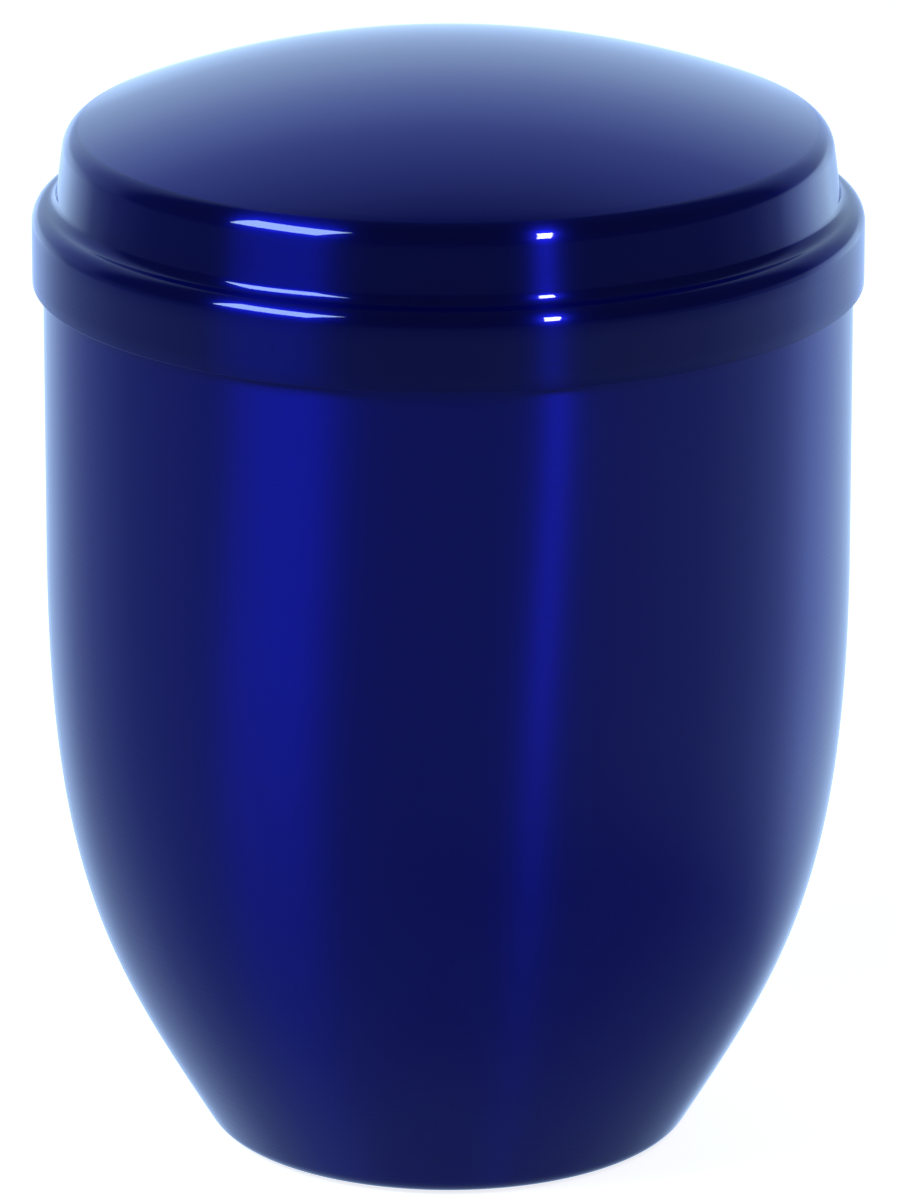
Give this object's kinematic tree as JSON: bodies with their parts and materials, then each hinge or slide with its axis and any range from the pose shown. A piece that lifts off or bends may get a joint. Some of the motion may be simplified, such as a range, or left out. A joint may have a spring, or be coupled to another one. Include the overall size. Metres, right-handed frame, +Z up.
{
  "type": "funeral urn",
  "caption": "Round funeral urn of dark blue lacquered sheet metal: a straight-sided body that curves in to a flat foot, with a loose domed lid whose skirt hangs over the rim.",
  "frame": {"origin": "middle of the flat underside, on the surface that the urn stands on", "axes": "+Z up along the turning axis, X and Y level and alike"},
  "size_m": [0.21, 0.21, 0.2833],
  "materials": {
    "body_lacquer": "clear dark blue gloss lacquer over bright sheet metal",
    "lid_lacquer": "clear dark blue gloss lacquer over bright sheet metal"
  },
  "bodies": {
    "root": {"urn_body": "body_lacquer", "urn_lid": "lid_lacquer"}
  },
  "joints": []
}
